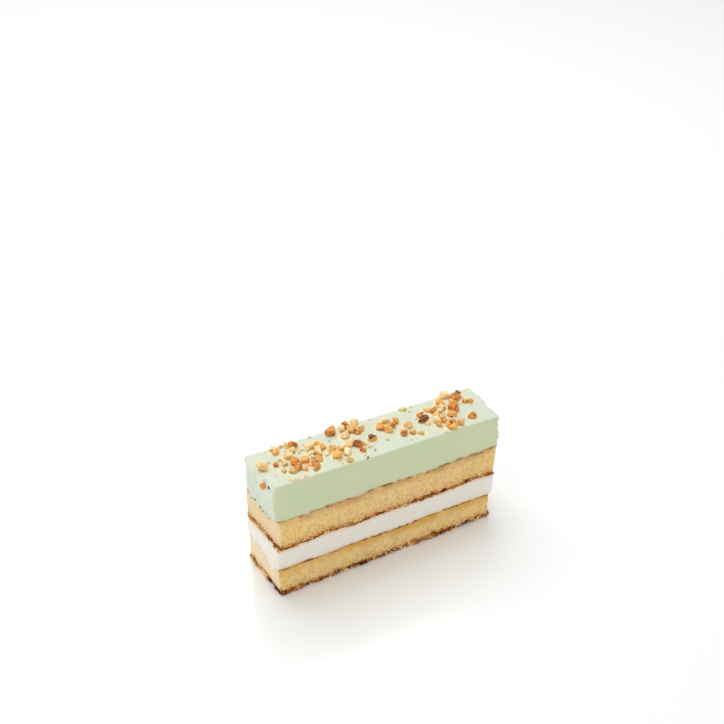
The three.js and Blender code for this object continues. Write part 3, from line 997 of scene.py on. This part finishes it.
class Finish:
    """A material while its nodes are being laid."""

    def __init__(self, name):
        self.material = bpy.data.materials.new(name)
        self.material.use_nodes = True
        self.tree = self.material.node_tree
        self.tree.nodes.clear()
        self.place = self.node("ShaderNodeTexCoord", output="Object")

    def node(self, kind, settings=(), inputs=(), output=0):
        """Adds a node. settings are made first, then inputs get their values, links or colour codes."""
        made = self.tree.nodes.new(kind)
        for name, value in dict(settings).items():
            if name == "stops":
                while len(made.color_ramp.elements) < len(value):
                    made.color_ramp.elements.new(1.0)
                for element, (at, tint) in zip(made.color_ramp.elements, value):
                    element.position = at
                    element.color = colour(tint)
            else:
                setattr(made, name, value)
        for name, value in dict(inputs).items():
            if isinstance(value, Link):
                self.tree.links.new(value.socket, made.inputs[name])
            else:
                made.inputs[name].default_value = colour(value) if isinstance(value, str) else value
        return Link(self, made.outputs[output]) if made.outputs else None

    def math(self, operation, a, b):
        return self.node("ShaderNodeMath", {"operation": operation}, {0: a, 1: b})

    def mark(self, name):
        """A number that the mesh holds for each of its points."""
        return self.node("ShaderNodeAttribute", {"attribute_name": name}, output="Fac")

    def cloud(self, size, detail=2.0, rough=0.5, place=None):
        """Noise from 0 to 1 with lumps of a size in millimetres."""
        scale = 1 / (size * MM)
        inputs = {"Vector": place or self.place, "Scale": scale, "Detail": detail, "Roughness": rough}
        return self.node("ShaderNodeTexNoise", {}, inputs)

    def pits(self, size):
        """The distance to the nearest of many specks a size apart, from 0 to about 1."""
        return self.node("ShaderNodeTexVoronoi", {}, {"Vector": self.place, "Scale": 1 / (size * MM)})

    def stretched(self, x, y, z):
        """The place on the surface with its axes scaled, for streaks."""
        settings = {"vector_type": "POINT"}
        return self.node("ShaderNodeMapping", settings, {"Vector": self.place, "Scale": (x, y, z)})

    def rise_between(self, value, low, high):
        """0 where a value is below low and 1 where it is above high, with a soft step between them."""
        settings = {"interpolation_type": "SMOOTHSTEP"}
        return self.node("ShaderNodeMapRange", settings, {"Value": value, "From Min": low, "From Max": high})

    def blend(self, share, a, b):
        """A colour from a to b."""
        return self.node("ShaderNodeMix", {"data_type": "RGBA"}, {0: share, 6: a, 7: b}, output=2)

    def ramp(self, value, *stops):
        return self.node("ShaderNodeValToRGB", {"stops": stops}, {"Fac": value})

    def surface(self, relief=None, relief_depth=0.0, **sockets):
        """Ends the finish with its shader. relief is a height from 0 to 1, and its depth is millimetres."""
        inputs = {name.replace("_", " "): value for name, value in sockets.items()}
        if relief is not None:
            bump = {"Height": relief, "Distance": relief_depth * MM, "Strength": 1.0}
            inputs["Normal"] = self.node("ShaderNodeBump", {}, bump)
        shader = self.node("ShaderNodeBsdfPrincipled", {}, inputs)
        self.node("ShaderNodeOutputMaterial", {}, {"Surface": shader})
        return self.material


def mousse_finish():
    """Smooth pale pistachio mousse, a little cooler in places, with a paler torn surface at its ends, partly
    painted light, and its spread top partly painted darker as shade.
    """
    finish = Finish("pistachio mousse")
    end = finish.mark("end")
    rise = finish.mark("rise")
    top = finish.mark("top")
    patch = finish.rise_between(finish.cloud(9, 2), 0.3, 0.7)
    cut = finish.blend(patch, "#d5dfb6", "#dce1ba")
    # The spread top: partly its own paler colour, partly painted shade that tempers the light falling on the
    # top.
    spread = finish.blend(patch, "#ccd6c3", "#d4d6c3")
    # The torn ends are paler: partly their own colour, partly painted light for the lit end, and paler still
    # towards their top.
    torn = finish.blend(patch, "#dfe7d9", "#e7ebdc")
    torn = finish.blend(finish.rise_between(rise, 5.0, 11.0) * 0.6, torn, "#f4f5ea")
    tint = finish.blend(finish.rise_between(top, 0.3, 0.8), finish.blend(end, cut, torn), spread)
    tint = finish.blend(finish.cloud(1.3, 3) * 0.25, tint, "#cddeba")
    streak = finish.rise_between(finish.cloud(1.0, 3, 0.6, finish.stretched(1.0, 1.0, 0.22)), 0.42, 0.7)
    tint = finish.blend(streak * end * 0.5, tint, "#bccdb3")
    tint = finish.blend(finish.mark("near_nut") * 0.5, tint, "#f0e6b6")
    seam = 1 - finish.rise_between(rise + (finish.cloud(0.8) - 0.5) * 0.8, 0.3, 1.3)
    tint = finish.blend(seam * 0.6, tint, "#dccd9f")
    # Darker along its lower edge, where it meets the sponge.
    lower_edge_dark = 1 - finish.rise_between(rise + (finish.cloud(0.5, 3) - 0.5) * 1.6, 0.0, 0.4)
    tint = finish.blend(lower_edge_dark * 0.4, tint, "#a98f5c")
    relief = finish.cloud(0.45, 3) + finish.cloud(2.5, 2) * 1.5
    return finish.surface(
        relief,
        0.035,
        Base_Color=tint,
        Roughness=finish.cloud(1.6, 2) * 0.2 + 0.42,
        Subsurface_Weight=0.3,
        Subsurface_Radius=(1.0, 1.0, 0.8),
        Subsurface_Scale=0.0012,
    )


def cream_finish():
    """White whipped cream, smooth and faintly warm, and tinged by the crumb that it touches."""
    finish = Finish("white cream")
    tint = finish.blend(finish.cloud(6, 2), "#f7efe2", "#fbf5ec")
    under_crust = 1 - finish.rise_between(finish.mark("below") + (finish.cloud(0.8, 3) - 0.5) * 0.4, 0.1, 1.4)
    tint = finish.blend(under_crust * 0.7, tint, "#fad0a0")
    over_crumb = 1 - finish.rise_between(finish.mark("rise") + (finish.cloud(0.8, 3) - 0.5) * 0.8, 0.1, 1.5)
    tint = finish.blend(over_crumb * 0.65, tint, "#f3cfa4")
    return finish.surface(
        finish.cloud(0.6, 3),
        0.04,
        Base_Color=tint,
        Roughness=0.5,
        Subsurface_Weight=0.35,
        Subsurface_Radius=(1.0, 0.9, 0.8),
        Subsurface_Scale=0.0012,
    )


def cut_crumb_tint(finish, tints, skin):
    """The open crumb with its grain, with painted shade in its pores and hollows, more golden near the ends
    and damp under the skin.
    """
    rise = finish.mark("rise")
    end = finish.mark("end")
    tint = finish.blend(finish.rise_between(finish.cloud(3.2, 3), 0.38, 0.62), *tints)
    # Near the ends the cut crumb is more golden, and this tint is partly painted light, lighter than the
    # crumb's own colour.
    near_end = finish.rise_between(finish.mark("near_end") + (finish.cloud(4, 2) - 0.5) * 0.8, 0.3, 0.9)
    tint = finish.blend(near_end * 0.75, tint, "#ffd680")
    # The end faces are paler: partly their own colour, partly painted light for the lit end.
    tint = finish.blend(end * 0.85, tint, skin.end)
    coarse = 1 - finish.rise_between(rise, 1.0, 7.0)
    blotch = finish.cloud(1.3, 3, 0.6)
    tint = finish.blend(finish.rise_between(blotch, 0.52, 0.62) * 0.4, tint, "#ffecbe")
    dull = finish.rise_between(1 - blotch, 0.52, 0.62) * (coarse * 0.2 + 0.25) * (1 - end * 0.7)
    tint = finish.blend(dull, tint, "#d69f52")
    # The fine grain of pale and dark specks is the crumb's own, and its pale specks are partly a painted
    # highlight on the tips of the crumb.
    grain = finish.cloud(0.4, 3, 0.65)
    tint = finish.blend(finish.rise_between(grain, 0.5, 0.66) * (coarse * 0.4 + 0.4), tint, "#ffe6b4")
    tint = finish.blend(finish.rise_between(1 - grain, 0.5, 0.66) * (coarse * 0.45 + 0.3), tint, "#cf9448")
    # Painted shade: the pores, and the hollows that the mesh holds as a mark, are darkened as the shade
    # inside them.
    pore = 1 - finish.rise_between(finish.pits(1.2) + finish.cloud(3, 2) * 0.3, 0.28, 0.38)
    tint = finish.blend(pore * (coarse * 0.6 + 0.3) * (1 - end * 0.5), tint, "#93622a")
    tint = finish.blend(finish.rise_between(finish.mark("hollow"), 0.06, 0.25) * 0.5, tint, "#cd9348")
    under_skin = finish.mark("below") + (finish.cloud(1.6, 3) - 0.5) * 2.4
    damp = 1 - finish.rise_between(under_skin, 0.3 * skin.reach, skin.reach)
    patchy = finish.rise_between(finish.cloud(9, 2), 0.35, 0.6) * 0.6 + 0.4
    return finish.blend(damp * (1 - end) * (1 - near_end * 0.5) * patchy * 0.9, tint, skin.damp)


def crust_tint(finish, tint, crust):
    """The browned crust at the foot of a sponge, with paler crumb and browned specks above it."""
    rise = finish.mark("rise")
    tint = finish.blend((1 - finish.rise_between(rise, crust.reach, 3 * crust.reach)) * 0.3, tint, crust.pale)
    speck = finish.cloud(0.5, 3, 0.55) - rise * (0.11 / crust.reach)
    tint = finish.blend(finish.rise_between(speck, 0.4, 0.46) * 0.8, tint, crust.tan)
    # The browned crust reaches higher where the mesh is hollow: partly its browning, partly painted shade in
    # the hollows.
    uneven = rise + (finish.cloud(1.1, 3, 0.6) - 0.5) * 3.6 * crust.reach - finish.mark("hollow")
    browned = 1 - finish.rise_between(uneven, 0.65 * crust.reach, crust.reach)
    shade = finish.cloud(0.6, 3, 0.6) + rise * (0.09 / crust.reach)
    shades = finish.ramp(shade, (0.45, crust.dark), (0.53, crust.tan), (0.6, crust.tan), (0.7, crust.pale))
    return finish.blend(browned, tint, shades)


def skin_tint(finish, tint, skin):
    """The thin damp skin right under the next layer: a brown band here and there, and a darker edge."""
    below = finish.mark("below")
    band = 1 - finish.rise_between(below + (finish.cloud(1.3, 3, 0.6) - 0.5) * 2.2, 0.5, 1.3)
    patchy = finish.rise_between(finish.cloud(2.4, 3), 0.42, 0.58) * 0.7 + 0.35
    strength = patchy * (1 - finish.mark("end") * 0.85)
    tint = finish.blend(band * strength * 0.6, tint, skin.band)
    edge = 1 - finish.rise_between(below + (finish.cloud(0.7, 3, 0.65) - 0.5) * 2.4, 0.35, 0.55)
    return finish.blend(edge * strength, tint, skin.edge)


def sponge_finish(name, crumb_tints, crust, skin):
    """Golden crumb between a browned crust underneath and a thin damp skin on top.

    crumb_tints are the two tints of the cut crumb. crust and skin hold the tints and heights of those two.
    """
    finish = Finish(name)
    tint = cut_crumb_tint(finish, crumb_tints, skin)
    tint = crust_tint(finish, tint, crust)
    tint = skin_tint(finish, tint, skin)
    return finish.surface(
        finish.cloud(0.3, 4, 0.7) + finish.pits(0.6) * 0.4,
        0.07,
        Base_Color=tint,
        Roughness=0.88,
        Specular_IOR_Level=0.25,
        Subsurface_Weight=0.12,
        Subsurface_Radius=(1.0, 0.6, 0.3),
        Subsurface_Scale=0.0006,
    )


def crumb_finish():
    """Loose crumbs of the crust, from burnt brown to golden by the tone of each."""
    finish = Finish("browned crumbs")
    tone = finish.mark("tone") + (finish.cloud(0.4, 2) - 0.5) * 0.3
    tint = finish.ramp(tone, (0.05, "#70330f"), (0.35, "#bb6f2b"), (0.65, "#e0a556"), (0.95, "#f5d295"))
    relief = finish.cloud(0.2, 3)
    return finish.surface(relief, 0.05, Base_Color=tint, Roughness=0.85, Specular_IOR_Level=0.25)


def nut_finish(name, tones, skin_share):
    """Chopped roasted nut. Its broken faces vary by piece, with painted shade that darkens their dips and
    lightens their bumps, and skin_share is how much brown skin it keeps.
    """
    finish = Finish(name)
    # Painted shade: the relief of the broken surface makes its dips darker and its bumps paler; the sides add
    # a tone at random.
    tone = finish.mark("tone") * 0.8 + finish.cloud(1.1, 2) * 0.5 + finish.mark("broken") * 1.8 - 0.15
    tint = finish.ramp(tone, *tones)
    tint = finish.blend(finish.rise_between(finish.cloud(0.4, 3), 0.5, 0.7) * 0.5, tint, tones[-1][1])
    skin = finish.rise_between(finish.mark("skin") + (finish.cloud(0.7, 3) - 0.5) * 0.8, -0.2, -0.05)
    brown = finish.ramp(finish.cloud(0.5, 3), (0.35, "#4e2713"), (0.65, "#9c5a2b"))
    tint = finish.blend(skin * skin_share, tint, brown)
    return finish.surface(
        finish.cloud(0.3, 3, 0.6),
        0.08,
        Base_Color=tint,
        Roughness=0.4,
        Specular_IOR_Level=0.5,
        Subsurface_Weight=0.15,
        Subsurface_Radius=(1.0, 0.7, 0.4),
        Subsurface_Scale=0.0006,
    )


def floor_finish():
    """A plain glossy white surface."""
    finish = Finish("white floor")
    return finish.surface(Base_Color="#f6f8f8", Roughness=0.2, Specular_IOR_Level=0.7)


# ---- Camera, floor and light ----

CAMERA_PLACE = (-132.97, -273.07, 264.94)  # millimetres from the front left foot
CAMERA_TURN = 30.73  # degrees to the right of straight across the slice
CAMERA_DIP = 31.06  # degrees below level
CAMERA_ROLL = 0.11
CAMERA_LENS = 64.13

FLOOR_REACH = 3.0  # metres
SKY_TINT = (1.0, 0.988, 0.975, 1.0)
SKY_STRENGTH = 0.7

# Square soft lights: place and size in metres, power and tint.
LIGHTS = (
    ("key", (0.06, 0.44, 0.80), 0.7, 4.5, (0.96, 0.985, 1.0)),
    ("fill", (-0.80, -0.30, 0.55), 0.9, 1.4, (0.98, 0.99, 1.0)),
)


def make_camera():
    camera = bpy.data.cameras.new("camera")
    camera.lens = CAMERA_LENS
    camera.clip_start = 0.01
    camera.clip_end = 20
    holder = bpy.data.objects.new("camera", camera)
    holder.location = Vector((np.array(CAMERA_PLACE) + FOOT_CORNER) * MM)
    turns = (90 - CAMERA_DIP, CAMERA_ROLL, -CAMERA_TURN)
    holder.rotation_euler = Euler([math.radians(turn) for turn in turns])
    bpy.context.scene.collection.objects.link(holder)
    bpy.context.scene.camera = holder


def make_floor():
    mesh = bpy.data.meshes.new("floor")
    corners = [(x * FLOOR_REACH, y * FLOOR_REACH, 0.0) for x, y in ((-1, -1), (1, -1), (1, 1), (-1, 1))]
    mesh.from_pydata(corners, [], [(0, 1, 2, 3)])
    mesh.materials.append(floor_finish())
    floor = bpy.data.objects.new("floor", mesh)
    bpy.context.scene.collection.objects.link(floor)


def make_light():
    world = bpy.data.worlds.new("studio")
    world.use_nodes = True
    sky = world.node_tree.nodes["Background"]
    sky.inputs["Color"].default_value = SKY_TINT
    sky.inputs["Strength"].default_value = SKY_STRENGTH
    bpy.context.scene.world = world
    for name, place, size, power, tint in LIGHTS:
        light = bpy.data.lights.new(name, "AREA")
        light.shape = "SQUARE"
        light.size = size
        light.energy = power
        light.color = tint
        holder = bpy.data.objects.new(name, light)
        holder.location = place
        holder.rotation_euler = (-Vector(place)).to_track_quat("-Z", "Y").to_euler()
        bpy.context.scene.collection.objects.link(holder)
    bpy.context.scene.view_settings.view_transform = "Standard"


# ---- Putting it together ----

make_camera()
make_floor()
make_light()

make_base_sponge(sponge_finish("base sponge crumb", BASE_TINTS, BASE_CRUST, BASE_SKIN))
make_upper_sponge(sponge_finish("upper sponge crumb", UPPER_TINTS, UPPER_CRUST, UPPER_SKIN))
make_cream(cream_finish())

draw_nut = random_numbers(NUT_SEED)
nuts = scatter_nuts(draw_nut)
left_end = make_mousse(mousse_finish(), nuts)
nut_materials = {
    "pale": nut_finish("pale nut", PALE_TONES, 0.0),
    "toasted": nut_finish("toasted nut", TOASTED_TONES, 0.0),
    "skinned": nut_finish("skinned nut", TOASTED_TONES, 1.0),
}
make_nuts(nuts, draw_nut, nut_materials)
make_nut_bits(nut_finish("nut bits", BIT_TONES, 0.0), nuts, left_end)
make_crust_crumbs(crumb_finish())
